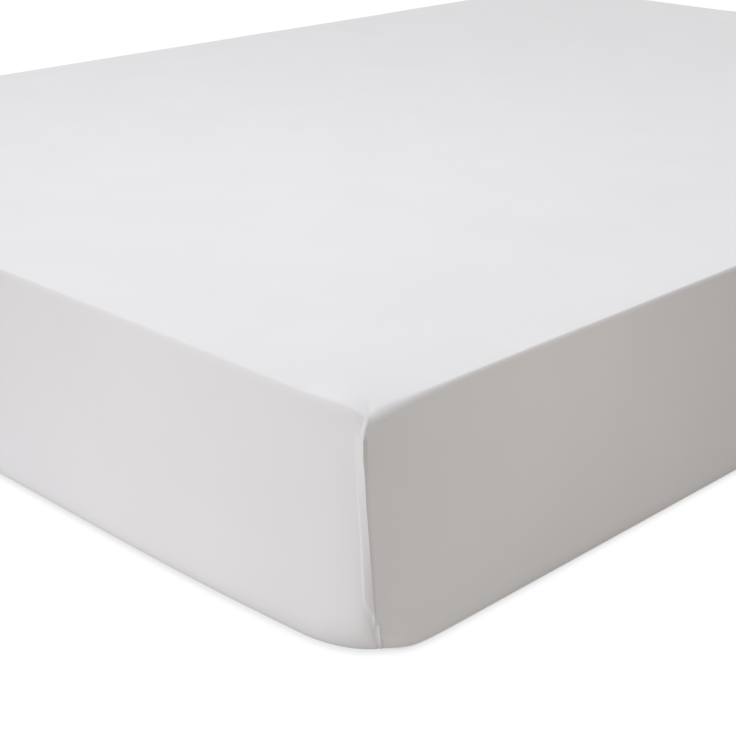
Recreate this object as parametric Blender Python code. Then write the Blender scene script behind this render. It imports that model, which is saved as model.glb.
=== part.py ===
"""Fitted sheet stretched over a plain mattress.

Metres, +Z up.  The origin is on the floor under the middle of the bed.  X runs across the bed,
Y along it.  The sheet is one shell of cloth: its top, its four sides, a sewn seam at each upright
corner, the band drawn in under the mattress and the hem at the band's edge.  The mattress is one
plain solid inside it.

Both solids are lofted from rings.  A ring is the bed's outline at some inset, its corners rounded
off, and each of its points lies at a known distance along the outline from the nearest seam.
"""

import math
from collections import namedtuple

import bmesh
import bpy
from mathutils import Vector

# Size of the dressed bed
BED_WIDTH = 1.35
BED_LENGTH = 1.90
BED_HEIGHT = 0.25

# Cloth, and the room between it and the mattress
CLOTH_THICKNESS = 0.002
SIDE_EASE = 0.0025
TOP_EASE = 0.002

# Long edges: a tight round at the top, a softer one at the foot, both larger near the corners
TOP_EDGE_RADIUS = 0.006
TOP_CORNER_RADIUS = 0.012
TOP_CORNER_LENGTH = 0.038
FOOT_EDGE_RADIUS = 0.028
FOOT_CORNER_RADIUS = 0.0445
FOOT_LENGTH_BEFORE_SEAM = 0.142
FOOT_LENGTH_AFTER_SEAM = 0.054

# How far the outline's corner is rounded off to either side, at the top and at the foot
CORNER_REACH_TOP = 0.014
CORNER_REACH_FOOT_BEFORE = 0.125
CORNER_REACH_FOOT_AFTER = 0.104
CORNER_REACH_HEM = 0.200
CORNER_REACH_POWER = 5.0
REACH_LOST_PER_INSET = 1.17

# Slow swell of the top and of the sides
TOP_CROWN = 0.003
TOP_CROWN_INSET = 0.33
SIDE_SWELL = 0.003
SIDE_SWELL_LENGTH = 0.30

# Band under the mattress, and its hem
BAND_INSET = 0.120
HEM_WIDTH = 0.025
HEM_THICKNESS = 0.003
HEM_STEP = 0.001

# Corner seam: it drifts along the outline towards the foot of the bed
SEAM_DRIFT = 0.016
SEAM_DRIFT_TOP = 0.212
SEAM_DRIFT_FOOT = 0.030
SEAM_START = 0.010
SEAM_RUN_IN = 0.010
ROLL_END = 0.060
LIP_END = 0.012
SEAM_FADE = 0.030

# Underside of the mattress: raised over the band, down on the floor in the middle
MATTRESS_PAD_INSET = 0.132
MATTRESS_PAD_STEP = 0.006
BAND_CLEARANCE = 0.001

SeamColumn = namedtuple("SeamColumn", "along roll lip")
SEAM_COLUMNS = (
    # along: distance from the seam; roll: height of the folded allowance; lip: edge at the foot
    SeamColumn(-0.300, 0.0000, 0.0000),
    SeamColumn(-0.150, 0.0000, 0.0000),
    SeamColumn(-0.100, 0.0000, 0.0000),
    SeamColumn(-0.065, 0.0000, 0.0000),
    SeamColumn(-0.040, 0.0000, 0.0000),
    SeamColumn(-0.022, 0.0000, 0.0000),
    SeamColumn(-0.012, 0.0002, 0.0000),
    SeamColumn(-0.008, 0.0022, 0.0000),
    SeamColumn(-0.003, 0.0036, -0.0003),
    SeamColumn(0.0000, 0.0038, -0.0005),
    SeamColumn(0.0008, -0.0008, 0.0012),
    SeamColumn(0.0050, -0.0002, 0.0003),
    SeamColumn(0.012, 0.0000, 0.0000),
    SeamColumn(0.022, 0.0000, 0.0000),
    SeamColumn(0.040, 0.0000, 0.0000),
    SeamColumn(0.065, 0.0000, 0.0000),
    SeamColumn(0.100, 0.0000, 0.0000),
    SeamColumn(0.150, 0.0000, 0.0000),
    SeamColumn(0.300, 0.0000, 0.0000),
)

Ring = namedtuple("Ring", "zone step")
# Zones of a loft, from the middle of the top to the hem.  step is an inset on the top and under
# the bed, degrees round an edge, and a share of the height on a side.
TOP_RINGS = (
    Ring("top", TOP_CROWN_INSET),
    Ring("top", 0.12),
    Ring("top", 0.035),
)
OUTER_RINGS = TOP_RINGS + (
    Ring("edge", 90),
    Ring("edge", 62),
    Ring("edge", 36),
    Ring("edge", 12),
    Ring("side", 0.02),
    Ring("side", 0.06),
    Ring("side", 0.20),
    Ring("side", 0.40),
    Ring("side", 0.60),
    Ring("side", 0.78),
    Ring("side", 0.90),
    Ring("side", 1.00),
    Ring("foot", 22),
    Ring("foot", 44),
    Ring("foot", 66),
    Ring("foot", 90),
    Ring("under", 0.075),
    Ring("under", BAND_INSET),
)
INNER_RINGS = (
    Ring("hem", BAND_INSET),
    Ring("hem", BAND_INSET - HEM_WIDTH),
    Ring("under", BAND_INSET - HEM_WIDTH - HEM_STEP),
    Ring("foot", 90),
    Ring("foot", 66),
    Ring("foot", 44),
    Ring("foot", 22),
    Ring("side", 1.00),
    Ring("side", 0.78),
    Ring("side", 0.40),
    Ring("side", 0.02),
    Ring("edge", 12),
    Ring("edge", 45),
    Ring("edge", 90),
    Ring("top", 0.12),
    Ring("top", TOP_CROWN_INSET),
)
MATTRESS_RINGS = (
    Ring("top", TOP_CROWN_INSET),
    Ring("top", 0.12),
    Ring("edge", 90),
    Ring("edge", 45),
    Ring("edge", 12),
    Ring("side", 0.02),
    Ring("side", 0.40),
    Ring("side", 0.78),
    Ring("side", 1.00),
    Ring("foot", 22),
    Ring("foot", 44),
    Ring("foot", 66),
    Ring("foot", 90),
    Ring("under", MATTRESS_PAD_INSET - MATTRESS_PAD_STEP),
    Ring("pad", MATTRESS_PAD_INSET),
)

# Skins: how far a surface lies inside the sheet's outer face
Skin = namedtuple("Skin", "side top under seam")
SHEET_OUTSIDE = Skin(side=0.0, top=0.0, under=0.0, seam=True)
SHEET_INSIDE = Skin(side=CLOTH_THICKNESS, top=CLOTH_THICKNESS, under=CLOTH_THICKNESS, seam=False)
MATTRESS_SKIN = Skin(
    side=CLOTH_THICKNESS + SIDE_EASE,
    top=CLOTH_THICKNESS + TOP_EASE,
    under=HEM_THICKNESS + BAND_CLEARANCE,
    seam=False,
)

# Corners in the order they are met going round the bed, seen from above: each one's place, and
# the way back along the face before it and on along the face after it
Corner = namedtuple("Corner", "place before after half_run")
CORNERS = (
    Corner(Vector((BED_WIDTH / 2, -BED_LENGTH / 2)), Vector((-1, 0)), Vector((0, 1)), BED_LENGTH / 2),
    Corner(Vector((BED_WIDTH / 2, BED_LENGTH / 2)), Vector((0, -1)), Vector((-1, 0)), BED_WIDTH / 2),
    Corner(Vector((-BED_WIDTH / 2, BED_LENGTH / 2)), Vector((1, 0)), Vector((0, -1)), BED_LENGTH / 2),
    Corner(Vector((-BED_WIDTH / 2, -BED_LENGTH / 2)), Vector((0, 1)), Vector((1, 0)), BED_WIDTH / 2),
)


def smooth_step(value):
    """Return value clamped to 0..1 and eased at both ends."""
    value = min(max(value, 0.0), 1.0)
    return value * value * (3.0 - 2.0 * value)


def near_seam(along, length_before, length_after):
    """Return 1 at the seam, falling smoothly to 0 over the given lengths."""
    length = length_before if along < 0 else length_after
    return math.exp(-((along / length) ** 2))


def seam_drift(height):
    """Return how far the seam lies past the outline's corner at this height."""
    span = SEAM_DRIFT_TOP - SEAM_DRIFT_FOOT
    return SEAM_DRIFT * min(max((SEAM_DRIFT_TOP - height) / span, 0.0), 1.0)


def profile_point(ring, skin, along):
    """Return inset, height, upward tilt of the face in radians, and the height that sets the corner."""
    edge_radius = TOP_EDGE_RADIUS + (TOP_CORNER_RADIUS - TOP_EDGE_RADIUS) * near_seam(
        along, TOP_CORNER_LENGTH, TOP_CORNER_LENGTH
    )
    foot_radius = FOOT_EDGE_RADIUS + (FOOT_CORNER_RADIUS - FOOT_EDGE_RADIUS) * near_seam(
        along, FOOT_LENGTH_BEFORE_SEAM, FOOT_LENGTH_AFTER_SEAM
    )
    if ring.zone == "top":
        rise = TOP_CROWN * smooth_step(ring.step / TOP_CROWN_INSET)
        return ring.step, BED_HEIGHT + rise - skin.top, math.pi / 2, BED_HEIGHT
    if ring.zone == "edge":
        tilt = math.radians(ring.step)
        inset = edge_radius - (edge_radius - skin.side) * math.cos(tilt)
        height = BED_HEIGHT - edge_radius + (edge_radius - skin.top) * math.sin(tilt)
        return inset, height, tilt, height
    if ring.zone == "side":
        top = BED_HEIGHT - edge_radius
        height = top + (foot_radius - top) * ring.step
        swell = SIDE_SWELL * 4.0 * ring.step * (1.0 - ring.step)
        swell *= 1.0 - near_seam(along, SIDE_SWELL_LENGTH, SIDE_SWELL_LENGTH)
        return skin.side - swell, height, 0.0, height
    if ring.zone == "foot":
        tilt = math.radians(ring.step)
        inset = foot_radius - (foot_radius - skin.side) * math.cos(tilt)
        height = foot_radius - (foot_radius - skin.under) * math.sin(tilt)
        return inset, height, -tilt, foot_radius * (1.0 - math.sin(tilt))
    heights = {"under": skin.under, "hem": HEM_THICKNESS, "pad": 0.0}
    return ring.step, heights[ring.zone], -math.pi / 2, 0.0


def corner_reaches(ring, inset, corner_height):
    """Return how far the outline's corner is rounded off before and after it."""
    depth = (BED_HEIGHT - corner_height) / BED_HEIGHT
    share = min(max(depth, 0.0), 1.0) ** CORNER_REACH_POWER
    before = CORNER_REACH_TOP + (CORNER_REACH_FOOT_BEFORE - CORNER_REACH_TOP) * share
    after = CORNER_REACH_TOP + (CORNER_REACH_FOOT_AFTER - CORNER_REACH_TOP) * share
    lost = REACH_LOST_PER_INSET * min(inset, FOOT_CORNER_RADIUS)
    before = max(before - lost, 0.0002)
    after = max(after - lost, 0.0002)
    if ring.zone in ("under", "hem", "pad"):
        drawn_in = (inset - FOOT_CORNER_RADIUS) / (BAND_INSET - FOOT_CORNER_RADIUS)
        drawn_in = smooth_step(drawn_in)
        before += (CORNER_REACH_HEM - before) * drawn_in
        after += (CORNER_REACH_HEM - after) * drawn_in
    return before, after


def outline_point(corner, inset, along, before, after):
    """Return a point of the rounded outline and its outward normal, both in plan."""
    virtual = corner.place + (corner.before + corner.after) * inset
    share = min(max((along + before) / (before + after), 0.0), 1.0)
    back = -along if along < -before else before * (1.0 - share) ** 2
    on = along if along > after else after * share**2
    tangent = corner.after * after * share - corner.before * before * (1.0 - share)
    normal = Vector((tangent.y, -tangent.x)).normalized()
    return virtual + corner.before * back + corner.after * on, normal


def seam_relief(column, height):
    """Return how far the seam stands off the cloth at this column and height."""
    run_in = smooth_step((BED_HEIGHT - SEAM_START - height) / SEAM_RUN_IN)
    roll = run_in * smooth_step((height - ROLL_END) / SEAM_FADE + 1.0)
    lip = (1.0 - roll) * run_in * smooth_step((height - LIP_END) / SEAM_FADE)
    return column.roll * roll + column.lip * lip


def seam_point(corner, ring, skin, column):
    """Return the place of one column of a ring that is counted from a corner seam."""
    inset, height, tilt, corner_height = profile_point(ring, skin, column.along)
    before, after = corner_reaches(ring, inset, corner_height)
    along = column.along + seam_drift(corner_height)
    plan, normal = outline_point(corner, inset, along, before, after)
    if skin.seam and ring.zone in ("edge", "side", "foot"):
        relief = seam_relief(column, corner_height)
        plan = plan + normal * relief * math.cos(tilt)
        height += relief * math.sin(tilt)
    return Vector((plan.x, plan.y, height))


def middle_point(corner, ring, skin):
    """Return the place of the column half-way along the face after a corner."""
    inset, height, _, _ = profile_point(ring, skin, corner.half_run)
    plan = corner.place + corner.after * corner.half_run + corner.before * inset
    return Vector((plan.x, plan.y, height))


def ring_points(ring, skin):
    """Return one closed ring of points, going round the bed seen from above."""
    points = []
    for corner in CORNERS:
        for column in SEAM_COLUMNS:
            points.append(seam_point(corner, ring, skin, column))
        points.append(middle_point(corner, ring, skin))
    return points


def loft(name, rings):
    """Return a closed mesh lofted through (ring, skin) pairs, with a fan at both ends."""
    bm = bmesh.new()
    number = bm.verts.layers.int.new("column")
    first = ring_points(*rings[0])
    circle = bmesh.ops.create_circle(bm, segments=len(first), cap_ends=True, radius=1.0)
    for index, vert in enumerate(circle["verts"]):
        vert[number] = index
        vert.co = first[index]
    edges = list(bm.edges)
    bmesh.ops.poke(bm, faces=list(bm.faces))
    for ring, skin in rings[1:]:
        places = ring_points(ring, skin)
        made = bmesh.ops.extrude_edge_only(bm, edges=edges)["geom"]
        for vert in (item for item in made if isinstance(item, bmesh.types.BMVert)):
            vert.co = places[vert[number]]
        new_verts = {item for item in made if isinstance(item, bmesh.types.BMVert)}
        new_edges = [item for item in made if isinstance(item, bmesh.types.BMEdge)]
        edges = [edge for edge in new_edges if set(edge.verts) <= new_verts]
    cap = bmesh.ops.contextual_create(bm, geom=edges)["faces"]
    bmesh.ops.poke(bm, faces=cap)
    bmesh.ops.triangulate(bm, faces=list(bm.faces))
    bmesh.ops.recalc_face_normals(bm, faces=list(bm.faces))
    mesh = bpy.data.meshes.new(name)
    bm.to_mesh(mesh)
    bm.free()
    return mesh


def cloth_material(name, color, roughness):
    """Return a plain matt cloth finish."""
    material = bpy.data.materials.new(name)
    material.use_nodes = True
    shader = material.node_tree.nodes["Principled BSDF"]
    shader.inputs["Base Color"].default_value = (*color, 1.0)
    shader.inputs["Roughness"].default_value = roughness
    shader.inputs["Metallic"].default_value = 0.0
    return material


def add_solid(name, mesh, material, parent):
    """Put one shaded mesh in the scene under the bed's empty."""
    mesh.materials.append(material)
    mesh.shade_smooth()
    mesh.set_sharp_from_angle(angle=math.radians(40))
    solid = bpy.data.objects.new(name, mesh)
    solid.parent = parent
    bpy.context.scene.collection.objects.link(solid)
    return solid


def build_sheet(parent):
    """Make the sheet: down its outside, round the hem and back up its inside."""
    rings = [(ring, SHEET_OUTSIDE) for ring in OUTER_RINGS]
    rings += [(ring, SHEET_INSIDE) for ring in INNER_RINGS]
    finish = cloth_material("white_percale", (0.86, 0.86, 0.87), 0.85)
    return add_solid("sheet", loft("sheet", rings), finish, parent)


def build_mattress(parent):
    """Make the plain mattress that fills the sheet."""
    rings = [(ring, MATTRESS_SKIN) for ring in MATTRESS_RINGS]
    finish = cloth_material("mattress_ticking", (0.80, 0.79, 0.76), 0.90)
    return add_solid("mattress", loft("mattress", rings), finish, parent)


def main():
    """Clear the scene and build the bed."""
    for item in list(bpy.data.objects):
        bpy.data.objects.remove(item, do_unlink=True)
    bed = bpy.data.objects.new("bed", None)
    bpy.context.scene.collection.objects.link(bed)
    build_sheet(bed)
    build_mattress(bed)


main()
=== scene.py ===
"""Looks for a percale fitted sheet over a mattress: cloth, seams, hem, ticking and studio."""

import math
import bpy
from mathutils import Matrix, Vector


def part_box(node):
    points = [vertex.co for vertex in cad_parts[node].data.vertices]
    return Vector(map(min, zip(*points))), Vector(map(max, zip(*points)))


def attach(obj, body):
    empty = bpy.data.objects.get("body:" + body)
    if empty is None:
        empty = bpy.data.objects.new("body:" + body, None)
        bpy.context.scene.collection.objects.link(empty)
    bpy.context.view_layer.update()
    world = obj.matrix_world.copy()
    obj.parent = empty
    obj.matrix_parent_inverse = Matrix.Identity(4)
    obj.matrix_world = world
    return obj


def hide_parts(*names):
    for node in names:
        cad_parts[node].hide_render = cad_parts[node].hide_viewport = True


bl_info = {
    "name": "Fitted Sheet on Mattress",
    "version": (1, 0, 0),
    "blender": (4, 5, 0),
    "location": "View3D > Sidebar > Bed Linen",
    "description": "Models a taut percale fitted sheet with sewn corners over a plain mattress",
    "category": "Object",
}

from collections import namedtuple

import bmesh
import bpy
from bpy.props import FloatProperty, FloatVectorProperty, PointerProperty
from mathutils import Euler, Matrix, Vector, noise

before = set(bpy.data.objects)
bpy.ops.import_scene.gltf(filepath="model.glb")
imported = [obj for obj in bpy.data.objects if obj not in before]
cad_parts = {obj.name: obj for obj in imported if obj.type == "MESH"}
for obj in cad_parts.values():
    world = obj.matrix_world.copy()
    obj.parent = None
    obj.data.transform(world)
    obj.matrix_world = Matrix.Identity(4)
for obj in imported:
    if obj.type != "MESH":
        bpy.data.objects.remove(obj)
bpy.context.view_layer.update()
SHEET_LOW, SHEET_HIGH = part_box("sheet")

# Slow swell of the sides and crown of the top, which the frame's box includes
SIDE_SWELL = 0.0029
SIDE_SWELL_LENGTH = 0.30
TOP_CROWN = 0.003
TOP_CROWN_INSET = 0.33

BED_WIDTH = SHEET_HIGH.x - SHEET_LOW.x - 2 * SIDE_SWELL
BED_LENGTH = SHEET_HIGH.y - SHEET_LOW.y - 2 * SIDE_SWELL
BED_HEIGHT = SHEET_HIGH.z - TOP_CROWN
HALF_WIDTH = BED_WIDTH / 2
HALF_LENGTH = BED_LENGTH / 2

# The corners, going round the bed: the ways from each along the side before its seam and the
# side after it, and how strongly the top dips towards it
Corner = namedtuple("Corner", "place before after share")
CORNERS = (
    Corner(Vector((HALF_WIDTH, -HALF_LENGTH)), Vector((-1, 0)), Vector((0, 1)), 1.0),
    Corner(Vector((HALF_WIDTH, HALF_LENGTH)), Vector((0, -1)), Vector((-1, 0)), 0.8),
    Corner(Vector((-HALF_WIDTH, HALF_LENGTH)), Vector((1, 0)), Vector((0, -1)), 1.1),
    Corner(Vector((-HALF_WIDTH, -HALF_LENGTH)), Vector((0, 1)), Vector((1, 0)), 0.9),
)

# Foot of the upright corners: how far each is rounded off on the way down to the hem
CORNER_REACH_TOP = 0.014
CORNER_REACH_FOOT_BEFORE = 0.112
CORNER_REACH_FOOT_AFTER = 0.086
CORNER_REACH_HEM = 0.200
CORNER_REACH_LEAST = 0.0002
CORNER_REACH_POWER = 5.0
FOOT_CORNER_POWER = 1.8
REACH_LOST_PER_INSET = 1.17

# Heights between which the foot's outline passes into the one above it
FOOT_ROUND_START = 0.020
FOOT_ROUND_END = 0.070
BLEND_LEAST = 0.001

# How far from a seam the long edges take on their corner radius
TOP_CORNER_LENGTH = 0.038
FOOT_LENGTH_BEFORE = 0.178
FOOT_LENGTH_AFTER = 0.042

# The round of the top edge that follows a seam begins further in for a while
TOP_EASE = 0.0045
TOP_EASE_START = 0.010
TOP_EASE_LENGTH = 0.060

# Path of the seam, as a distance past the outline's corner: it leans away on its way down
SEAM_START = 0.0013
SEAM_DRIFT = 0.0138
SEAM_DRIFT_TOP = 0.212
SEAM_DRIFT_FOOT = 0.030
SEAM_DRIFT_FADE = 0.050

# Its top end stands out in a small ear, which the cloth before it runs straight into
EAR = 0.0066
EAR_ASIDE = 0.0010
EAR_FOOT = 0.2287
EAR_TOP = 0.2462
EAR_LENGTH_BEFORE = 0.012
EAR_LENGTH_AFTER = 0.016

# How the cloth curves in towards the seam: a soft turn, and a tight one that comes in lower down
SOFT_TURN = 0.018
TIGHT_TURN = 0.0035
TIGHT_SHARE = 0.45
TIGHT_TOP = 0.158
TIGHT_FOOT = 0.077

# How the top's rim lies below its plane: all round, past the seams' ears, and where it is drawn
# taut and then sags on the way to them
RIM_DIP = 0.0014
RIM_DIP_INSET = 0.050
CORNER_DIP = 0.0058
CORNER_DIP_LENGTH = 0.065
TIP_DIP = 0.0016
TIP_DIP_LENGTH = 0.004
TIP_PLACE = 0.007
TIP_LENGTH_BEFORE = 0.0135
RIM_TAUT = 0.0008
RIM_TAUT_PLACE = 0.024
RIM_TAUT_LENGTH = 0.012
RIM_SAG = 0.0022
RIM_SAG_START = 0.032
RIM_SAG_END = 0.075
RIM_SAG_LENGTH = 0.130
DIP_INSET = 0.015

# Folded seam allowance: the heights between which it widens, the least and greatest share of
# that, and how its parts come and go. A RISE is where a form starts and a FALL where it ends,
# each with the length over which it does
FOLD_WIDTH_LOW = 0.092
FOLD_WIDTH_HIGH = 0.219
FOLD_SHARE_LOW = -0.15
FOLD_SHARE_HIGH = 1.1
FOLD_FADE = 0.040
FOLD_TOP_LENGTH = 0.002
FOLD_END_LENGTH = 0.011
FOLD_END_LENGTH_LOST = 0.006
RAMP_RISE = (0.150, 0.065)
FLANK_FALL = (0.205, 0.045)
FLANK_EDGE = (1.2, 0.45)
OVERHANG_FADE = 0.0016
LEAN_LEAST = 0.2
LEAN_RISE = (0.165, 0.040)

# Relief beside a seam: PLACE and LEVEL are bells along the side and in height, each with its
# centre and width, and SHARE is a height as a share of the lip's
RELIEF_REACH = 0.030
POCKET_SHARE = 0.3
POCKET_PLACE = (0.0, 0.0030)
POCKET_RISE = (0.004, 0.020)
POCKET_FALL = (0.058, 0.010)
HOOK_SHARE = 0.65
HOOK_PLACE = (0.0, 0.0009)
HOOK_LEVEL = (0.0630, 0.0045)
KNUCKLE_PLACE_BEFORE = (-0.0014, 0.0017)
KNUCKLE_LEVEL_BEFORE = (0.2365, 0.0050)
KNUCKLE_PLACE_AFTER = (0.0022, 0.0012)
KNUCKLE_LEVEL_AFTER = (0.2330, 0.0035)
GROOVE_PLACE = (0.0009, 0.0017)
GROOVE_RISE = (0.058, 0.006)
GROOVE_FALL = (0.240, 0.006)
LIP_PLACE = (0.0032, 0.0006)
LIP_RISE = (0.006, 0.018)
LIP_FALL = (0.0575, 0.003)
PUCKER_SHARE = 0.4
PUCKER_PLACE = (0.0094, 0.0019)
PUCKER_RISE = (0.012, 0.010)
PUCKER_FALL = (0.050, 0.010)

# Slow waves in the cloth: their scales, and how far from seam, floor and rim they come in
WAVE_SCALE = 5.0
FINE_WAVE_SCALE = 13.0
FINE_WAVE_SHARE = 0.5
FINE_WAVE_SHIFT = Vector((7, 3, 1))
WAVE_FROM_SEAM = 0.03
WAVE_FROM_FLOOR = 0.04
WAVE_FROM_RIM = 0.05

# Grid of the cloth: wide faces along each side, and seam faces that are cut again
FACES_PER_SIDE = 94
BODY_FACES_PER_SIDE = 64
SEAM_FACES = 6
SEAM_FACE_WIDTH = 0.0021
SEAM_SPAN = SEAM_FACES * SEAM_FACE_WIDTH
SEAM_FACE_CUTS = 4
SPACING_GROWTH = 3.1
TOP_GRID_INSET = 0.013
TOP_CENTER = -1.0
TOP_RIM = 0.0

# What each point of the grid is marked with: its place along from a seam, its row, its corner
Marks = namedtuple("Marks", "along row corner")

# Rows below the grid: steps out to the rim, turns of the top edge in degrees, and the heights
# where the spacing of the side's rows changes, each with its faces down to the next
Row = namedtuple("Row", "zone step")
SHELF_STEPS = (0.45, 0.12)
EDGE_TURNS = (90, 84, 78, 72, 66, 59, 51, 42, 32, 21, 10)
SIDE_TOP = 0.2330
SIDE_LEVELS = (SIDE_TOP, 0.224, 0.220, 0.213, 0.205, 0.103, 0.095, 0.088, 0.070, 0.055, 0.052)
SIDE_FACES = (5, 1, 1, 1, 12, 1, 1, 6, 6, 1, 1)
SIDE_FOOT = 0.0485
FOOT_FACES = 9
BAND_START = 0.006
BAND_FACES = 4
GATHER_START = 0.06
HEM_STEP = 0.0004
HEM_STEP_LENGTH = 0.0008
HEM_STITCH = 0.003

# A row's place in section, a short step along it for its direction, and a tiny one off a seam
Profile = namedtuple("Profile", "inset height tilt")
TANGENT_STEP = 0.0004
OFF_SEAM = 1e-9

# Faint creases that stay in the top, from the near corner back along its two edges: how far in
# from the right-hand face and from the foot, their sizes, and their turn in degrees
Crease = namedtuple("Crease", "x y length width height turn")
CREASE_BOW = 0.15
CREASES = (
    Crease(0.193, 0.104, 0.070, 0.012, -0.0007, -14.0),
    Crease(0.242, 0.066, 0.070, 0.011, -0.0006, 5.0),
    Crease(0.205, 0.174, 0.060, 0.013, -0.0007, 31.0),
    Crease(0.225, 0.285, 0.100, 0.014, -0.0007, 12.0),
    Crease(0.330, 0.430, 0.190, 0.016, -0.0006, -38.0),
    Crease(0.395, 0.520, 0.120, 0.016, 0.0005, -20.0),
)

# Percale: its finish, the slubs in its threads and the slow change of its tone
PERCALE_FINISH = {
    "Roughness": 0.88,
    "Sheen Weight": 0.12,
    "Sheen Roughness": 0.45,
    "Specular IOR Level": 0.25,
}
SLUB_SCALE = (40.0, 900.0, 1.0)
SLUB_HEIGHT = 0.6
TONE_SCALE = 9.0
TONE_DEPTH = 0.985
TONE_START = 0.35
TONE_END = 0.65
WEAVE_STRENGTH = 0.25
WEAVE_DEPTH = 0.00004

# Ticking: a twill that runs aslant
TICKING_FINISH = {"Roughness": 0.92}
TWILL_TURN = math.radians(35.0)
TWILL_SCALE = 320.0
TWILL_WANDER = 0.6
TWILL_TONE = 0.93
TWILL_STRENGTH = 0.3
TWILL_DEPTH = 0.0003

# White of the backdrop and of the open floor
BACKDROP = (1.02, 1.02, 1.02)
FLOOR_SIZE = 30.0
FLOOR_GAP = 0.0004

# Room light round the compass: -X, -X-Y, -Y, +X-Y, +X, +X+Y, +Y, -X+Y and -X again
ROOM_LIGHT = (
    (0.99, 1.00, 0.965),
    (0.79, 0.79, 0.765),
    (1.21, 1.15, 1.20),
    (0.60, 0.59, 0.59),
    (0.085, 0.08, 0.08),
    (0.29, 0.29, 0.285),
    (1.24, 1.27, 1.265),
    (1.49, 1.55, 1.58),
    (0.99, 1.00, 0.965),
)

# Light that the floor throws back, from far along the left-hand face to far along the right,
# and how little of it is left close under the bed
BOUNCE_SPAN = 1.2
BOUNCE = (
    (0.0, (0.37, 0.265, 0.22)),
    (0.25, (0.905, 0.905, 0.94)),
    (0.4167, (0.83, 0.81, 0.805)),
    (0.5833, (0.51, 0.485, 0.465)),
    (0.75, (0.565, 0.52, 0.50)),
    (1.0, (0.43, 0.41, 0.39)),
)
BOUNCE_REACH = 0.05
BOUNCE_SAMPLES = 4
BOUNCE_GAIN = 0.8
BOUNCE_LEAST = 0.3

# Shade on the floor where the foot of the bed comes down to it
CONTACT_REACH = 0.010
CONTACT_SAMPLES = 32
CONTACT_SHADE = (
    (0.0, (0.66, 0.66, 0.67)),
    (0.24, (0.825, 0.825, 0.83)),
    (0.35, (0.885, 0.885, 0.887)),
    (0.46, (0.945, 0.945, 0.946)),
    (0.61, (0.988, 0.988, 0.988)),
    (1.0, BACKDROP),
)

# Darker line at the very foot of the face that is turned from the light
LINE_START = 0.015
LINE_END = 0.045
LINE_SHADE = (
    (0.0, (0.08, 0.08, 0.08)),
    (0.140, (0.22, 0.22, 0.22)),
    (0.170, (1.0, 1.0, 1.0)),
)

# Square lights: two over the top, and a fill before each near face
Lamp = namedtuple("Lamp", "name place aim size power color")
LAMPS = (
    Lamp("high", (0.0, -0.7, 1.6), (0.0, -0.7, 0.25), 0.6, 2.84, (0.913, 0.747, 1.0)),
    Lamp("low", (0.35, -0.75, 1.3), (0.35, -0.75, 0.25), 0.5, 0.74, (0.867, 1.0, 0.824)),
    Lamp("left", (0.40, -1.30, 0.22), (0.40, -0.95, 0.14), 0.4, 0.188, (0.984, 1.0, 0.989)),
    Lamp("right", (1.0, -0.72, 0.22), (0.678, -0.72, 0.14), 0.4, 0.222, (1.0, 0.88, 0.72)),
)

CAMERA_CLIP_START = 0.01


# ---------------------------------------------------------------------------------------------
# Sizes and colours that a user would change


class SheetSettings(bpy.types.PropertyGroup):
    """Sizes and finish of the fitted sheet."""

    thickness: FloatProperty(
        name="Cloth thickness",
        description="Thickness of the percale",
        default=0.0005,
        unit="LENGTH",
    )
    top_edge_inset: FloatProperty(
        name="Top edge inset",
        description="How far in the round of the top edges begins",
        default=0.0035,
        unit="LENGTH",
    )
    top_edge_drop: FloatProperty(
        name="Top edge drop",
        description="How far down the round of the short top edges ends",
        default=0.008,
        unit="LENGTH",
    )
    top_side_drop: FloatProperty(
        name="Top side drop",
        description="How far down the round of the long top edges ends",
        default=0.006,
        unit="LENGTH",
    )
    top_corner_inset: FloatProperty(
        name="Top corner inset",
        description="How far in the round of the top edges begins beside a seam",
        default=0.0050,
        unit="LENGTH",
    )
    top_corner_drop: FloatProperty(
        name="Top corner drop",
        description="How far down the round of the top edges ends beside a seam",
        default=0.009,
        unit="LENGTH",
    )
    foot_edge_radius: FloatProperty(
        name="Foot edge radius",
        description="Round of the long bottom edges",
        default=0.028,
        unit="LENGTH",
    )
    foot_corner_radius: FloatProperty(
        name="Foot corner radius",
        description="Round of the bottom edges beside a seam",
        default=0.0445,
        unit="LENGTH",
    )
    band: FloatProperty(
        name="Band",
        description="How far the cloth is drawn in under the mattress",
        default=0.120,
        unit="LENGTH",
    )
    hem: FloatProperty(
        name="Hem",
        description="Width of the hem at the band's edge",
        default=0.025,
        unit="LENGTH",
    )
    unevenness: FloatProperty(
        name="Unevenness",
        description="Height of the slow waves that stay in taut cloth",
        default=0.0006,
        unit="LENGTH",
    )
    color: FloatVectorProperty(
        name="Cloth",
        description="Colour of the bleached cotton",
        subtype="COLOR",
        default=(0.800, 0.800, 0.806),
    )
    thread_pitch: FloatProperty(
        name="Thread pitch",
        description="Distance between threads of the plain weave",
        default=0.0003,
        unit="LENGTH",
    )


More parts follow.
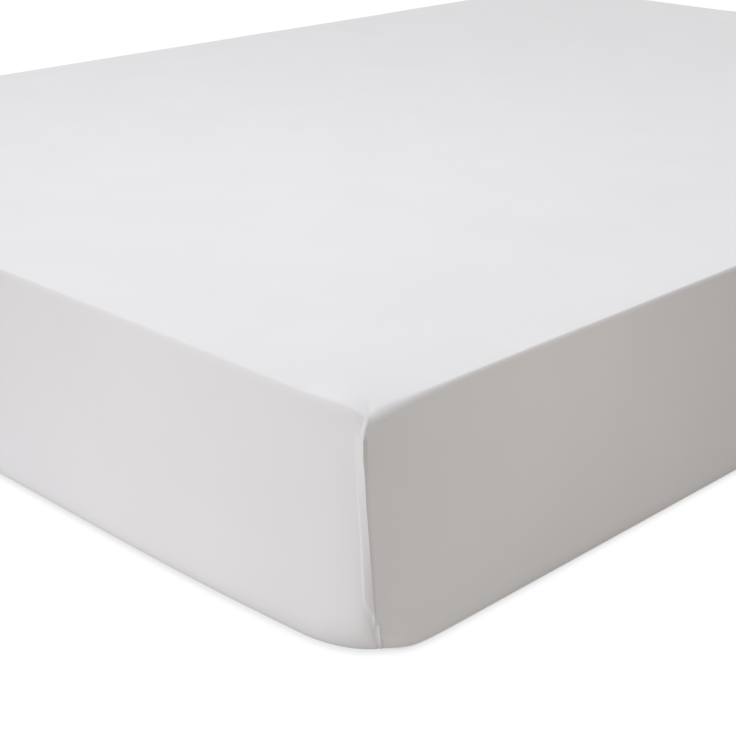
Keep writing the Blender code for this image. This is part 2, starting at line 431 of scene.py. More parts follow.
class SeamSettings(bpy.types.PropertyGroup):
    """Sizes of the four sewn corners."""

    width_high: FloatProperty(
        name="Upper width",
        description="Width of the folded seam allowance near its top",
        default=0.0104,
        unit="LENGTH",
    )
    width_low: FloatProperty(
        name="Lower width",
        description="Width of the folded seam allowance near its end",
        default=0.0064,
        unit="LENGTH",
    )
    top: FloatProperty(
        name="Top",
        description="Height at which the folded allowance begins",
        default=0.2285,
        unit="LENGTH",
    )
    end_at_seam: FloatProperty(
        name="End at the seam",
        description="Height at which the folded allowance ends, at the seam",
        default=0.059,
        unit="LENGTH",
    )
    end_at_fold: FloatProperty(
        name="End at the fold",
        description="Height at which the folded allowance ends, at its fold",
        default=0.078,
        unit="LENGTH",
    )
    ramp: FloatProperty(
        name="Ramp",
        description="How far the upper part stands out at the seam",
        default=0.0029,
        unit="LENGTH",
    )
    flank: FloatProperty(
        name="Flank",
        description="How far the fold stands out lower down",
        default=0.0012,
        unit="LENGTH",
    )
    overhang: FloatProperty(
        name="Overhang",
        description="How far the allowance leans over the upper part of the seam",
        default=0.0018,
        unit="LENGTH",
    )
    groove: FloatProperty(
        name="Groove",
        description="Depth of the stitched groove beside the allowance",
        default=0.0009,
        unit="LENGTH",
    )
    knuckle: FloatProperty(
        name="Knuckle",
        description="How far the seam's top end stands out at the corner",
        default=0.0016,
        unit="LENGTH",
    )
    lip: FloatProperty(
        name="Lip",
        description="Height of the fold that laps the seam below the allowance",
        default=0.0030,
        unit="LENGTH",
    )


class MattressSettings(bpy.types.PropertyGroup):
    """Finish of the mattress, which shows only underneath."""

    color: FloatVectorProperty(
        name="Ticking",
        description="Colour of the mattress cover",
        subtype="COLOR",
        default=(0.72, 0.70, 0.65),
    )
    clearance: FloatProperty(
        name="Clearance",
        description="How far the mattress lies inside the cloth's face",
        default=0.0026,
        unit="LENGTH",
    )


class StudioSettings(bpy.types.PropertyGroup):
    """Floor, light and camera."""

    lens: FloatProperty(name="Lens", description="Focal length in millimetres", default=76.2)
    azimuth: FloatProperty(
        name="Azimuth",
        description="Way the camera looks, from straight at the foot of the bed",
        subtype="ANGLE",
        default=math.radians(45.0),
    )
    pitch: FloatProperty(
        name="Pitch",
        description="How far down the camera looks",
        subtype="ANGLE",
        default=math.radians(21.735),
    )
    distance: FloatProperty(
        name="Distance",
        description="From the camera to the near top corner, along the view",
        default=1.196,
        unit="LENGTH",
    )
    rise: FloatProperty(
        name="Rise",
        description="Camera's shift above the line through the near top corner",
        default=0.035,
        unit="LENGTH",
    )
    aside: FloatProperty(
        name="Aside",
        description="Camera's shift to the right of that line",
        default=0.0038,
        unit="LENGTH",
    )


# ---------------------------------------------------------------------------------------------
# Shape of the bed


def clamp(value, low=0.0, high=1.0):
    """Return value, held between low and high."""
    return min(max(value, low), high)


def smooth_step(value):
    """Return value clamped to 0..1 and eased at both ends."""
    value = clamp(value)
    return value * value * (3.0 - 2.0 * value)


def rising(value, start, length):
    """Return 0 up to start, then rise smoothly to 1 over the length."""
    return smooth_step((value - start) / length)


def falling(value, end, length):
    """Return 1, and fall smoothly to 0 at the end, over the length before it."""
    return smooth_step((end - value) / length)


def bump(value, center, width):
    """Return a smooth bell that is 1 at its centre."""
    return math.exp(-(((value - center) / width) ** 2))


def seam_drift(level):
    """Return how far the seam leans past the outline's corner at this height."""
    return SEAM_DRIFT * clamp((SEAM_DRIFT_TOP - level) / (SEAM_DRIFT_TOP - SEAM_DRIFT_FOOT))


def off_grid(inset):
    """Return 1 at the outline, falling to 0 where the top's grid begins."""
    return clamp(1.0 - inset / TOP_GRID_INSET)


def ear_share(level, inset):
    """Return how much of the ear there is at this height, this far in."""
    return clamp((level - EAR_FOOT) / (EAR_TOP - EAR_FOOT)) * off_grid(inset)


def rim_dip(place, inset, share):
    """Return how far the top lies below its plane, at a place along its rim and in from it."""
    if place > TIP_PLACE:
        dip = CORNER_DIP * math.exp((TIP_PLACE - place) / CORNER_DIP_LENGTH)
        dip += TIP_DIP * bump(place, TIP_PLACE, TIP_DIP_LENGTH)
    else:
        dip = (CORNER_DIP + TIP_DIP) * bump(place, TIP_PLACE, TIP_LENGTH_BEFORE)
    sag = RIM_SAG * rising(-place, RIM_SAG_START, RIM_SAG_END - RIM_SAG_START)
    sag *= math.exp(-max(-place - RIM_SAG_END, 0.0) / RIM_SAG_LENGTH)
    sag -= RIM_TAUT * bump(place, -RIM_TAUT_PLACE, RIM_TAUT_LENGTH)
    near = share * (dip + sag) * math.exp(-inset / DIP_INSET)
    return near + RIM_DIP * math.exp(-inset / RIM_DIP_INSET)


def profile_point(row, sizes, along, share, half):
    """Return a row's inset, its height and the tilt of its face at a distance from a seam."""
    near = bump(along, 0.0, TOP_CORNER_LENGTH)
    inset = sizes.top_edge_inset + (sizes.top_corner_inset - sizes.top_edge_inset) * near
    if along > 0.0:
        inset += TOP_EASE * smooth_step(along / TOP_EASE_START) * bump(along, 0.0, TOP_EASE_LENGTH)
    edge_drop = sizes.top_side_drop if half == HALF_LENGTH else sizes.top_edge_drop
    drop = edge_drop + (sizes.top_corner_drop - edge_drop) * near
    ear = EAR * math.exp(-abs(along) / EAR_LENGTH_BEFORE)
    if row.zone == "shelf":
        inset += (TOP_GRID_INSET - inset) * row.step
        place = along + ear * (1.0 - inset / TOP_GRID_INSET)
        return Profile(inset, BED_HEIGHT - rim_dip(place, inset, share), math.pi / 2)
    if row.zone == "edge":
        turn = math.radians(row.step)
        tilt = math.atan2(inset * math.sin(turn), drop * math.cos(turn))
        inset *= 1.0 - math.cos(turn)
        place = along + ear * (1.0 - inset / TOP_GRID_INSET)
        height = BED_HEIGHT - rim_dip(place, inset, share) - drop * (1.0 - math.sin(turn))
        return Profile(inset, height, tilt)
    near_foot = bump(along, 0.0, FOOT_LENGTH_BEFORE if along < 0.0 else FOOT_LENGTH_AFTER)
    foot = sizes.foot_edge_radius + (sizes.foot_corner_radius - sizes.foot_edge_radius) * near_foot
    if row.zone == "side":
        top = BED_HEIGHT - rim_dip(along + ear, 0.0, share) - drop
        height = top + (foot - top) * row.step
        swell = SIDE_SWELL * 4.0 * row.step * (1.0 - row.step)
        swell *= 1.0 - bump(along, 0.0, SIDE_SWELL_LENGTH)
        return Profile(-swell, height, 0.0)
    if row.zone == "foot":
        turn = math.radians(row.step)
        return Profile(foot * (1.0 - math.cos(turn)), foot * (1.0 - math.sin(turn)), -turn)
    return Profile(row.step, 0.0, -math.pi / 2)


def corner_reaches(row, sizes, profile):
    """Return how far the foot of an upright corner is rounded off before and after it."""
    share = clamp((BED_HEIGHT - profile.height) / BED_HEIGHT) ** CORNER_REACH_POWER
    lost = REACH_LOST_PER_INSET * min(profile.inset, sizes.foot_corner_radius)
    reaches = []
    for foot in (CORNER_REACH_FOOT_BEFORE, CORNER_REACH_FOOT_AFTER):
        reach = CORNER_REACH_TOP + (foot - CORNER_REACH_TOP) * share
        reach = max(reach - lost, CORNER_REACH_LEAST)
        if row.zone == "under":
            start = sizes.foot_corner_radius
            drawn_in = rising(profile.inset, start, sizes.band - start)
            reach += (CORNER_REACH_HEM - reach) * drawn_in
        reaches.append(reach)
    return reaches


def outline_place(corner, inset, back, on):
    """Return a point in plan, from its distances back before a corner and on after it."""
    return corner.place + corner.before * (inset + back) + corner.after * (inset + on)


def foot_outline(corner, inset, along, reaches):
    """Return a point of the rounded outline at the foot, in plan."""
    before, after = reaches
    share = clamp((along + before) / (before + after))
    back = -along if along < -before else before * (1.0 - share) ** FOOT_CORNER_POWER
    on = along if along > after else after * share**FOOT_CORNER_POWER
    return outline_place(corner, inset, back, on)


def side_outline(corner, profile, along):
    """Return a point of the outline above the foot, which turns in towards the seam."""
    level = profile.height
    inset = profile.inset
    drift = (SEAM_START + seam_drift(level)) * off_grid(inset)
    ear = ear_share(level, inset)
    if along > 0.0:
        on = along + drift + EAR_ASIDE * ear * math.exp(-along / EAR_LENGTH_AFTER)
        back = -EAR * ear * math.exp(-along / EAR_LENGTH_AFTER)
    else:
        tight = TIGHT_SHARE * falling(level, TIGHT_TOP, TIGHT_TOP - TIGHT_FOOT)
        turned = tight * math.exp(along / TIGHT_TURN)
        turned += (1.0 - tight) * math.exp(along / SOFT_TURN)
        on = drift * turned + EAR_ASIDE * ear * math.exp(along / TIGHT_TURN)
        back = -along - drift * (1.0 - math.exp(along / SEAM_DRIFT_FADE))
        back -= EAR * ear * math.exp(along / EAR_LENGTH_BEFORE)
    return outline_place(corner, inset, back, on)


def outline_point(corner, row, profile, along, sizes):
    """Return a point of the bed's outline in plan."""
    upper = rising(profile.height, FOOT_ROUND_START, FOOT_ROUND_END - FOOT_ROUND_START)
    if upper > 1.0 - BLEND_LEAST:
        return side_outline(corner, profile, along)
    drift = seam_drift(profile.height)
    reaches = corner_reaches(row, sizes, profile)
    foot = foot_outline(corner, profile.inset, along + drift, reaches)
    if upper < BLEND_LEAST:
        return foot
    return foot.lerp(side_outline(corner, profile, along), upper)


def fold_width(level, seam):
    """Return the width of the folded seam allowance at this height."""
    share = (level - FOLD_WIDTH_LOW) / (FOLD_WIDTH_HIGH - FOLD_WIDTH_LOW)
    share = clamp(share, FOLD_SHARE_LOW, FOLD_SHARE_HIGH)
    return seam.width_low + (seam.width_high - seam.width_low) * share


def fold_relief(along, level, seam):
    """Return how far the folded allowance stands out before the seam, and its share there."""
    across = -along / seam.width_high
    held = min(across, 1.0)
    end = seam.end_at_seam + (seam.end_at_fold - seam.end_at_seam) * held
    there = rising(level, end, FOLD_END_LENGTH - FOLD_END_LENGTH_LOST * held)
    there *= falling(level, seam.top + FOLD_TOP_LENGTH / 2, FOLD_TOP_LENGTH)
    ramp = seam.ramp * rising(level, *RAMP_RISE) * max(1.0 - across, 0.0)
    flank = seam.flank * falling(level, *FLANK_FALL) * falling(across, *FLANK_EDGE)
    return (ramp + flank) * there, there


def seam_relief(along, level, seam):
    """Return how far the cloth beside a seam stands out from the outline, and its overhang."""
    if abs(along) > RELIEF_REACH:
        return 0.0, 0.0
    pocket = bump(along, *POCKET_PLACE) * falling(level, *POCKET_FALL)
    pocket *= POCKET_SHARE * seam.lip * rising(level, *POCKET_RISE)
    hook = HOOK_SHARE * seam.lip * bump(along, *HOOK_PLACE) * bump(level, *HOOK_LEVEL)
    if along <= 0.0:
        height, there = fold_relief(along, level, seam)
        bead = bump(along, *KNUCKLE_PLACE_BEFORE) * bump(level, *KNUCKLE_LEVEL_BEFORE)
        height += seam.knuckle * bead
        height += hook - pocket
        lean = LEAN_LEAST + (1.0 - LEAN_LEAST) * rising(level, *LEAN_RISE)
        return height, seam.overhang * lean * there * smooth_step(1.0 + along / OVERHANG_FADE)
    beside = falling(level, *GROOVE_FALL) * rising(level, *GROOVE_RISE)
    height = hook - pocket - seam.groove * bump(along, *GROOVE_PLACE) * beside
    height += seam.knuckle * bump(along, *KNUCKLE_PLACE_AFTER) * bump(level, *KNUCKLE_LEVEL_AFTER)
    lap = falling(level, *LIP_FALL) * rising(level, *LIP_RISE)
    height += seam.lip * bump(along, *LIP_PLACE) * lap
    pucker = falling(level, *PUCKER_FALL) * rising(level, *PUCKER_RISE)
    height += PUCKER_SHARE * seam.lip * bump(along, *PUCKER_PLACE) * pucker
    return height, 0.0


def slow_waves(place, sizes):
    """Return the height of the slow waves at a point of the cloth."""
    wave = noise.noise(place * WAVE_SCALE)
    wave += FINE_WAVE_SHARE * noise.noise(place * FINE_WAVE_SCALE + FINE_WAVE_SHIFT)
    return sizes.unevenness * wave


def cloth_point(corner, row, along, half, sizes, seam=None, gap=0.0):
    """Return the place of one point below the top: of the cloth, or of what fills it."""
    profile = profile_point(row, sizes, along, corner.share, half)
    level = profile.height
    gathered = profile.inset / half * rising(abs(along), GATHER_START, half - GATHER_START)
    place = along * (1.0 - gathered)
    if seam and along < 0.0:
        fade = 1.0 - rising(-along, SEAM_SPAN, FOLD_FADE)
        place *= 1.0 + (fold_width(level, seam) / seam.width_high - 1.0) * fade

    plan = outline_point(corner, row, profile, place, sizes)
    if row.zone == "under":
        hem = smooth_step((profile.inset - sizes.band + sizes.hem) / HEM_STEP_LENGTH)
        return Vector((plan.x, plan.y, gap + HEM_STEP * (1.0 - hem)))
    back = place if along > 0.0 else place - TANGENT_STEP
    on = place + TANGENT_STEP if along > 0.0 else place
    tangent = outline_point(corner, row, profile, on, sizes)
    tangent -= outline_point(corner, row, profile, back, sizes)
    tangent.normalize()
    normal = Vector((tangent.y, -tangent.x))
    relief = -gap
    if seam:
        height, overhang = seam_relief(along, level, seam)
        relief += height
        plan += tangent * overhang
    away = 1.0 - bump(along, 0.0, WAVE_FROM_SEAM)
    waves = slow_waves(Vector((plan.x, plan.y, level)), sizes)
    relief += waves * away * smooth_step(level / WAVE_FROM_FLOOR)
    plan += normal * relief * math.cos(profile.tilt)
    return Vector((plan.x, plan.y, level + relief * math.sin(profile.tilt)))


# ---------------------------------------------------------------------------------------------
# Meshes, objects and nodes that several pieces share


def finished_mesh(name, bm):
    """Return a smooth mesh made from a bmesh, which is freed."""
    mesh = bpy.data.meshes.new(name)
    bm.to_mesh(mesh)
    bm.free()
    mesh.shade_smooth()
    return mesh


def add_object(scene, name, data):
    """Return a new object that is in the scene."""
    item = bpy.data.objects.new(name, data)
    scene.collection.objects.link(item)
    return item


def new_material(name, finish):
    """Return a new material, its nodes and its shader, with this finish set on the shader."""
    material = bpy.data.materials.new(name)
    material.use_nodes = True
    tree = material.node_tree
    shader = tree.nodes["Principled BSDF"]
    for socket, value in finish.items():
        shader.inputs[socket].default_value = value
    return material, tree, shader


def add_node(tree, kind, inputs=None, **settings):
    """Return a new shader node with its settings made, and its inputs linked or set."""
    node = tree.nodes.new("ShaderNode" + kind)
    for name, value in settings.items():
        setattr(node, name, value)
    for name, value in (inputs or {}).items():
        if isinstance(value, bpy.types.NodeSocket):
            tree.links.new(value, node.inputs[name])
        else:
            node.inputs[name].default_value = value
    return node


def math_node(tree, operation, *values):
    """Return the result of a Math node fed by sockets or numbers."""
    return add_node(tree, "Math", dict(enumerate(values)), operation=operation).outputs[0]


def ramp_node(tree, stops, source):
    """Return a colour ramp's colour, given (position, colour) stops and what drives it."""
    node = add_node(tree, "ValToRGB", {"Fac": source})
    elements = node.color_ramp.elements
    for _ in stops[2:]:
        elements.new(0.5)
    for element, (position, color) in zip(elements, stops):
        element.position = position
        element.color = (*color, 1.0)
    return node.outputs["Color"]


def span_node(tree, value, low, high):
    """Return how far a value lies from low, at 0, to high, at 1."""
    span = add_node(tree, "MapRange", {"Value": value, "From Min": low, "From Max": high})
    return span.outputs["Result"]


def mix_node(tree, share, first, second, blend="MIX"):
    """Return two colours mixed by a share from 0 to 1."""
    inputs = {"Factor": share, "A": first, "B": second}
    node = add_node(tree, "Mix", inputs, data_type="RGBA", blend_type=blend)
    return node.outputs["Result"]


def open_node(tree, distance, samples):
    """Return how open a point is to the room, within a distance of it."""
    node = add_node(tree, "AmbientOcclusion", {"Distance": distance}, samples=samples)
    return node.outputs["AO"]


def dress_shader(tree, shader, color, height, strength, depth):
    """Link a colour to a shader, and a height that raises its surface."""
    relief = {"Height": height, "Strength": strength, "Distance": depth}
    tree.links.new(color, shader.inputs["Base Color"])
    tree.links.new(add_node(tree, "Bump", relief).outputs["Normal"], shader.inputs["Normal"])


# ---------------------------------------------------------------------------------------------
# The fitted sheet


def graded_places(half, faces):
    """Return distances from a seam to the middle of a side, growing after the seam's faces."""
    places = [SEAM_FACE_WIDTH * step for step in range(SEAM_FACES + 1)]
    start = places[-1]
    steps = faces // 2 - SEAM_FACES
    for step in range(1, steps + 1):
        share = math.expm1(SPACING_GROWTH * step / steps) / math.expm1(SPACING_GROWTH)
        places.append(start + (half - start) * share)
    return places


def mirrored_places(half, faces):
    """Return places right across a side of this half length, from its low end."""
    near = graded_places(half, faces)
    low = [-half + place for place in near]
    return low + [half - place for place in reversed(near[:-1])]


def side_levels():
    """Return the heights of the side's rows, from its top to its foot."""
    levels = []
    for high, low, faces in zip(SIDE_LEVELS, (*SIDE_LEVELS[1:], SIDE_FOOT), SIDE_FACES):
        levels += [round(high + (low - high) * step / faces, 4) for step in range(faces)]
    return levels + [SIDE_FOOT]


def rows_below_top(sizes):
    """Return the rows of the cloth from its top to the hem."""
    foot = sizes.foot_corner_radius
    rows = [Row("shelf", step) for step in SHELF_STEPS]
    rows += [Row("edge", turn) for turn in EDGE_TURNS]
    rows += [Row("side", (SIDE_TOP - level) / (SIDE_TOP - foot)) for level in side_levels()]
    rows += [Row("foot", 90 * step / FOOT_FACES) for step in range(FOOT_FACES + 1)]
    start = foot + BAND_START
    hem = sizes.band - sizes.hem
    insets = [start + (hem - start) * step / BAND_FACES for step in range(BAND_FACES + 1)]
    insets += [hem + step for step in (HEM_STEP_LENGTH, HEM_STITCH, sizes.hem / 2, sizes.hem)]
    return rows + [Row("under", inset) for inset in insets]


def ring_columns(faces):
    """Return (corner's index, distance from its seam) for each point of a ring."""
    columns = []
    for index in range(len(CORNERS)):
        near = graded_places(side_half(index), faces)
        following = (index + 1) % len(CORNERS)
        columns += [(index, place) for place in near]
        columns += [(following, -place) for place in reversed(near[1:-1])]
    return columns


def side_half(index):
    """Return half the length of the side that follows this corner."""
    return HALF_LENGTH if index % 2 == 0 else HALF_WIDTH


def half_of(index, along):
    """Return half the length of the side on which this point lies."""
    return side_half(index) if along >= 0.0 else side_half(index - 1)


def crease_height(x, y):
    """Return the height of the faint creases at a plan point of the top."""
    height = 0.0
    for crease in CREASES:
        away = Vector((x - HALF_WIDTH + crease.x, y + HALF_LENGTH - crease.y))
        turn = math.radians(crease.turn)
        along = away.x * math.cos(turn) + away.y * math.sin(turn)
        across = away.y * math.cos(turn) - away.x * math.sin(turn)
        bow = across - CREASE_BOW * along * along / crease.length
        rise = crease.height * bump(along, 0.0, crease.length / 2)
        height += rise * bump(bow, 0.0, crease.width)
    return height


def top_height(x, y, sizes):
    """Return the height of the top at a plan point."""
    corner = min(CORNERS, key=lambda item: (item.place - Vector((x, y))).length)
    away = Vector((x, y)) - corner.place
    from_after = away.dot(corner.before)
    from_before = away.dot(corner.after)
    inset = min(from_after, from_before)
    dip = rim_dip(from_before - from_after, inset, corner.share)
    crown = TOP_CROWN * smooth_step(inset / TOP_CROWN_INSET)
    wave = slow_waves(Vector((x, y, BED_HEIGHT)), sizes)
    wave *= rising(inset, TOP_GRID_INSET, WAVE_FROM_RIM)
    return BED_HEIGHT - dip + crown + wave + crease_height(x, y)


def make_top_grid(bm, faces):
    """Make the graded grid of the top and return its rim, point by point round the bed."""
    bmesh.ops.create_grid(bm, x_segments=faces, y_segments=faces, size=1.0)
    across = mirrored_places(HALF_WIDTH - TOP_GRID_INSET, faces)
    down = mirrored_places(HALF_LENGTH - TOP_GRID_INSET, faces)
    by_place = {}
    for vert in bm.verts:
        i = round((vert.co.x + 1.0) / 2.0 * faces)
        j = round((vert.co.y + 1.0) / 2.0 * faces)
        by_place[i, j] = vert
        vert.co = Vector((across[i], down[j], BED_HEIGHT))
    rim = [by_place[faces, j] for j in range(faces)]
    rim += [by_place[i, faces] for i in range(faces, 0, -1)]
    rim += [by_place[0, j] for j in range(faces, 0, -1)]
    rim += [by_place[i, 0] for i in range(faces)]
    return rim


def extrude_row(bm, edges):
    """Extrude a rim and return its new edges and points."""
    made = bmesh.ops.extrude_edge_only(bm, edges=edges)["geom"]
    verts = {item for item in made if isinstance(item, bmesh.types.BMVert)}
    new_edges = [
        item for item in made if isinstance(item, bmesh.types.BMEdge) and set(item.verts) <= verts
    ]
    return new_edges, verts


def grow_rows(bm, faces, rows):
    """Make the top's grid and the rows below it, mark each point, and return the last edges."""
    marks = Marks(*(bm.verts.layers.float.new(name) for name in Marks._fields))
    rim = make_top_grid(bm, faces)
    for vert in bm.verts:
        vert[marks.row] = TOP_CENTER
    for vert, (index, place) in zip(rim, ring_columns(faces)):
        vert[marks.row] = TOP_RIM
        vert[marks.corner] = index
        vert[marks.along] = place
    edges = [edge for edge in bm.edges if edge.is_boundary]
    for count in range(1, len(rows) + 1):
        edges, verts = extrude_row(bm, edges)
        for vert in verts:
            vert[marks.row] = count
    return edges, marks


def cut_seam_faces(bm, marks):
    """Cut the columns beside the seams again, so that the seams come out crisp."""
    reach = SEAM_SPAN + SEAM_FACE_WIDTH / 2
    edges = []
    for edge in bm.edges:
        first, second = edge.verts
        if first[marks.row] < TOP_RIM or first[marks.row] != second[marks.row]:
            continue
        if max(abs(first[marks.along]), abs(second[marks.along])) < reach:
            edges.append(edge)
    bmesh.ops.subdivide_edges(bm, edges=edges, cuts=SEAM_FACE_CUTS)


def lay_points(bm, marks, rows, sizes, seam=None, gap=0.0):
    """Move each point to its place: on the cloth, or a gap inside it on what fills it."""
    for vert in bm.verts:
        count = round(vert[marks.row])
        if count < 1:
            vert.co.z = top_height(vert.co.x, vert.co.y, sizes) - gap
            continue
        index = round(vert[marks.corner])
        along = vert[marks.along]
        half = half_of(index, along)
        vert.co = cloth_point(CORNERS[index], rows[count - 1], along, half, sizes, seam, gap)


def flat_place(index, along, drop):
    """Return a point of the cut cloth from its corner, its distance along and its drop."""
    corner = CORNERS[index]
    if along >= 0.0:
        place = corner.place + corner.after * along
        return place - corner.before * drop
    place = corner.place - corner.before * along
    return place - corner.after * drop


def lay_cloth_map(bm, marks, drops):
    """Give each face the flat cloth's coordinates in metres, so that the weave runs with it."""
    uv = bm.loops.layers.uv.new("cloth")
    for face in bm.faces:
        if max(vert[marks.row] for vert in face.verts) <= TOP_RIM:
            for loop in face.loops:
                loop[uv].uv = loop.vert.co.xy
            continue
        ahead = any(vert[marks.along] > 0.0 for vert in face.verts)
        for loop in face.loops:
            vert = loop.vert
            along = vert[marks.along] or (OFF_SEAM if ahead else -OFF_SEAM)
            drop = drops[round(vert[marks.row])]
            loop[uv].uv = flat_place(round(vert[marks.corner]), along, drop)


def row_drops(rows, sizes):
    """Return how far down the cloth each row lies, measured at the middle of a side."""
    middle = HALF_LENGTH
    points = [cloth_point(CORNERS[0], row, middle, middle, sizes) for row in rows]
    drops = [-TOP_GRID_INSET, points[0].x - HALF_WIDTH]
    for first, second in zip(points, points[1:]):
        drops.append(drops[-1] + (second - first).length)
    return drops


def sheet_mesh(sizes, seam):
    """Return the sheet as one cloth: the top's grid, then row after row down to the hem."""
    bm = bmesh.new()
    rows = rows_below_top(sizes)
    _, marks = grow_rows(bm, FACES_PER_SIDE, rows)
    cut_seam_faces(bm, marks)
    lay_points(bm, marks, rows, sizes, seam=seam)
    lay_cloth_map(bm, marks, row_drops(rows, sizes))
    return finished_mesh("fitted_sheet", bm)


def percale_material(sizes):
    """Return bleached percale: a fine plain weave with slubs, matt with a trace of sheen."""
    material, tree, shader = new_material("percale", PERCALE_FINISH)
    cloth = add_node(tree, "UVMap", uv_map="cloth").outputs["UV"]
    split = add_node(tree, "SeparateXYZ", {"Vector": cloth})
    pace = math.pi / sizes.thread_pitch
    warp = math_node(tree, "SINE", math_node(tree, "MULTIPLY", split.outputs["X"], pace))
    weft = math_node(tree, "SINE", math_node(tree, "MULTIPLY", split.outputs["Y"], pace))
    round_warp = math_node(tree, "ABSOLUTE", warp)
    round_weft = math_node(tree, "ABSOLUTE", weft)
    threads = math_node(tree, "MULTIPLY", round_warp, round_weft)
    threads = math_node(tree, "ADD", threads, math_node(tree, "MULTIPLY", warp, weft))

    stretched = add_node(tree, "Mapping", {"Vector": cloth, "Scale": SLUB_SCALE})
    slubs = {"Vector": stretched.outputs["Vector"], "Scale": 1.0, "Detail": 2.0}
    slubs = add_node(tree, "TexNoise", slubs).outputs["Fac"]
    height = math_node(tree, "ADD", threads, math_node(tree, "MULTIPLY", slubs, SLUB_HEIGHT))

    tone = add_node(tree, "TexNoise", {"Vector": cloth, "Scale": TONE_SCALE, "Detail": 3.0})
    low = [value * TONE_DEPTH for value in sizes.color]
    stops = ((TONE_START, low), (TONE_END, sizes.color))
    color = ramp_node(tree, stops, tone.outputs["Fac"])
    dress_shader(tree, shader, color, height, WEAVE_STRENGTH, WEAVE_DEPTH)
    return material


class BED_OT_fitted_sheet(bpy.types.Operator):
    """Make the fitted sheet with its corner seams and hem"""

    bl_idname = "bed.fitted_sheet"
    bl_label = "Fitted Sheet"

    def execute(self, context):
        sizes = context.scene.bed_sheet
        mesh = sheet_mesh(sizes, context.scene.bed_seam)
        mesh.materials.append(percale_material(sizes))
        cloth = add_object(context.scene, "fitted_sheet", mesh)
        wall = cloth.modifiers.new("cloth_thickness", "SOLIDIFY")
        wall.thickness = sizes.thickness
        wall.offset = -1.0
        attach(cloth, "root")
        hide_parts("sheet")
        return {"FINISHED"}


# ---------------------------------------------------------------------------------------------
# The mattress


def body_mesh(sizes, gap):
    """Return the mattress: the same shape a little inside the cloth, closed underneath."""
    bm = bmesh.new()
    rows = rows_below_top(sizes)
    edges, marks = grow_rows(bm, BODY_FACES_PER_SIDE, rows)
    lay_points(bm, marks, rows, sizes, gap=gap)
    bmesh.ops.contextual_create(bm, geom=edges)
    return finished_mesh("mattress_body", bm)


def ticking_material(settings):
    """Return a plain twill ticking."""
    material, tree, shader = new_material("ticking", TICKING_FINISH)
    place = add_node(tree, "TexCoord").outputs["Object"]
    turn = add_node(tree, "Mapping", {"Vector": place, "Rotation": (0.0, 0.0, TWILL_TURN)})
    twill = {"Vector": turn.outputs["Vector"], "Scale": TWILL_SCALE, "Distortion": TWILL_WANDER}
    twill = add_node(tree, "TexWave", twill).outputs["Fac"]
    low = [value * TWILL_TONE for value in settings.color]
    color = ramp_node(tree, ((0.0, low), (1.0, settings.color)), twill)
    dress_shader(tree, shader, color, twill, TWILL_STRENGTH, TWILL_DEPTH)
    return material


class BED_OT_mattress(bpy.types.Operator):
    """Make the mattress that fills the sheet"""

    bl_idname = "bed.mattress"
    bl_label = "Mattress"

    def execute(self, context):
        settings = context.scene.bed_mattress
        mesh = body_mesh(context.scene.bed_sheet, settings.clearance)
        mesh.materials.append(ticking_material(settings))
        body = add_object(context.scene, "mattress_body", mesh)
        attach(body, "root")
        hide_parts("mattress")
        return {"FINISHED"}


# ---------------------------------------------------------------------------------------------
# Studio


def floor_shade(tree, across):
    """Return the floor as the camera sees it: white, and darker only close under the bed."""
    near = open_node(tree, CONTACT_REACH, CONTACT_SAMPLES)
    contact = ramp_node(tree, CONTACT_SHADE, near)
    line = ramp_node(tree, LINE_SHADE, near)
    return mix_node(tree, span_node(tree, across, LINE_START, LINE_END), contact, line, "MULTIPLY")


def floor_bounce(tree, across):
    """Return the light that the floor throws back at the bed, less of it close underneath."""
    bounce = ramp_node(tree, BOUNCE, span_node(tree, across, -BOUNCE_SPAN, BOUNCE_SPAN))
    share = open_node(tree, BOUNCE_REACH, BOUNCE_SAMPLES)
    share = math_node(tree, "MULTIPLY", share, BOUNCE_GAIN)
    share = math_node(tree, "MINIMUM", math_node(tree, "ADD", share, BOUNCE_LEAST), 1.0)
    shaded = add_node(tree, "VectorMath", {"Vector": bounce, "Scale": share}, operation="SCALE")
    return shaded.outputs["Vector"]


def floor_material():
    """Return a floor with a shade for the camera and a bounce of its own for the bed."""
    material = bpy.data.materials.new("studio_floor")
    material.use_nodes = True
    tree = material.node_tree
    tree.nodes.clear()
    near_corner = {
        "Vector": add_node(tree, "TexCoord").outputs["Object"],
        "Location": (HALF_WIDTH, -HALF_LENGTH, 0.0),
        "Rotation": (0.0, 0.0, math.radians(45.0)),
    }
    turned = add_node(tree, "Mapping", near_corner, vector_type="TEXTURE")
    across = add_node(tree, "SeparateXYZ", {"Vector": turned.outputs["Vector"]}).outputs["X"]
    seen = add_node(tree, "LightPath").outputs["Is Camera Ray"]
    color = mix_node(tree, seen, floor_bounce(tree, across), floor_shade(tree, across))
    glow = add_node(tree, "Emission", {"Color": color})
    add_node(tree, "OutputMaterial", {"Surface": glow.outputs["Emission"]})
    return material


def make_world(scene):
    """Light the room softly, with a colour for each way round, and a plain white backdrop."""
    world = bpy.data.worlds.new("studio_light")
    world.use_nodes = True
    scene.world = world
    tree = world.node_tree
    tree.nodes.clear()
    way = {"Vector": add_node(tree, "TexCoord").outputs["Generated"]}
    compass = add_node(tree, "TexGradient", way, gradient_type="RADIAL")
    ways = len(ROOM_LIGHT) - 1
    stops = [(index / ways, color) for index, color in enumerate(ROOM_LIGHT)]
    light = ramp_node(tree, stops, compass.outputs["Fac"])
    seen = add_node(tree, "LightPath").outputs["Is Camera Ray"]
    color = mix_node(tree, seen, light, (*BACKDROP, 1.0))
    sky = add_node(tree, "Background", {"Color": color})
    add_node(tree, "OutputWorld", {"Surface": sky.outputs["Background"]})


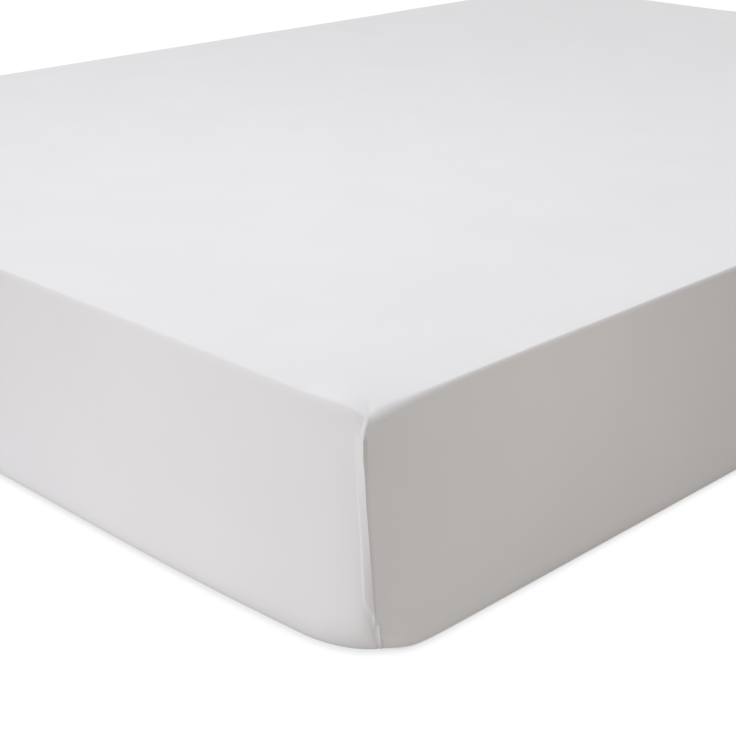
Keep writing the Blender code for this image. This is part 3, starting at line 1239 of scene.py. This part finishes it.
def make_lights(scene):
    """Hang the soft lights, none of which the camera sees."""
    for lamp in LAMPS:
        light = bpy.data.lights.new(lamp.name, "AREA")
        light.size = lamp.size
        light.energy = lamp.power
        light.color = lamp.color
        holder = add_object(scene, lamp.name, light)
        holder.location = lamp.place
        way = Vector(lamp.aim) - Vector(lamp.place)
        holder.rotation_euler = way.to_track_quat("-Z", "Y").to_euler()
        holder.visible_camera = False


def make_camera(scene, settings):
    """Stand the camera in front of the near corner, looking down on it."""
    lens = bpy.data.cameras.new("camera")
    lens.lens = settings.lens
    lens.clip_start = CAMERA_CLIP_START
    turn = Euler((math.pi / 2 - settings.pitch, 0.0, settings.azimuth), "XYZ").to_matrix()
    right, up, back = (turn @ Vector(axis) for axis in ((1, 0, 0), (0, 1, 0), (0, 0, 1)))
    near_corner = Vector((HALF_WIDTH, -HALF_LENGTH, BED_HEIGHT))
    place = near_corner + back * settings.distance + up * settings.rise + right * settings.aside
    camera = add_object(scene, "camera", lens)
    camera.matrix_world = Matrix.Translation(place) @ turn.to_4x4()
    scene.camera = camera


class BED_OT_studio(bpy.types.Operator):
    """Make the floor, the light and the camera"""

    bl_idname = "bed.studio"
    bl_label = "Studio"

    def execute(self, context):
        scene = context.scene
        bm = bmesh.new()
        lowered = Matrix.Translation((0.0, 0.0, -FLOOR_GAP))
        bmesh.ops.create_grid(bm, x_segments=1, y_segments=1, size=FLOOR_SIZE, matrix=lowered)
        mesh = finished_mesh("studio_floor", bm)
        mesh.materials.append(floor_material())
        floor = add_object(scene, "studio_floor", mesh)
        make_world(scene)
        make_lights(scene)
        make_camera(scene, scene.bed_studio)
        scene.view_settings.view_transform = "Standard"
        scene.view_settings.look = "None"
        return {"FINISHED"}


class BED_PT_linen(bpy.types.Panel):
    """Lists what the bed is made of"""

    bl_label = "Bed Linen"
    bl_idname = "BED_PT_linen"
    bl_space_type = "VIEW_3D"
    bl_region_type = "UI"
    bl_category = "Bed Linen"

    def draw(self, context):
        scene = context.scene
        for operator, settings in (
            ("bed.fitted_sheet", scene.bed_sheet),
            ("bed.fitted_sheet", scene.bed_seam),
            ("bed.mattress", scene.bed_mattress),
            ("bed.studio", scene.bed_studio),
        ):
            box = self.layout.box()
            box.operator(operator)
            for name in settings.__annotations__:
                box.prop(settings, name)


CLASSES = (
    SheetSettings,
    SeamSettings,
    MattressSettings,
    StudioSettings,
    BED_OT_fitted_sheet,
    BED_OT_mattress,
    BED_OT_studio,
    BED_PT_linen,
)


def register():
    """Register the classes and hang their settings on the scene."""
    for item in CLASSES:
        bpy.utils.register_class(item)
    bpy.types.Scene.bed_sheet = PointerProperty(type=SheetSettings)
    bpy.types.Scene.bed_seam = PointerProperty(type=SeamSettings)
    bpy.types.Scene.bed_mattress = PointerProperty(type=MattressSettings)
    bpy.types.Scene.bed_studio = PointerProperty(type=StudioSettings)


def unregister():
    """Take the settings and the classes away again."""
    del bpy.types.Scene.bed_studio
    del bpy.types.Scene.bed_mattress
    del bpy.types.Scene.bed_seam
    del bpy.types.Scene.bed_sheet
    for item in reversed(CLASSES):
        bpy.utils.unregister_class(item)


def main():
    """Build the bed."""
    register()
    bpy.ops.bed.mattress()
    bpy.ops.bed.fitted_sheet()
    bpy.ops.bed.studio()


if __name__ == "__main__":
    main()
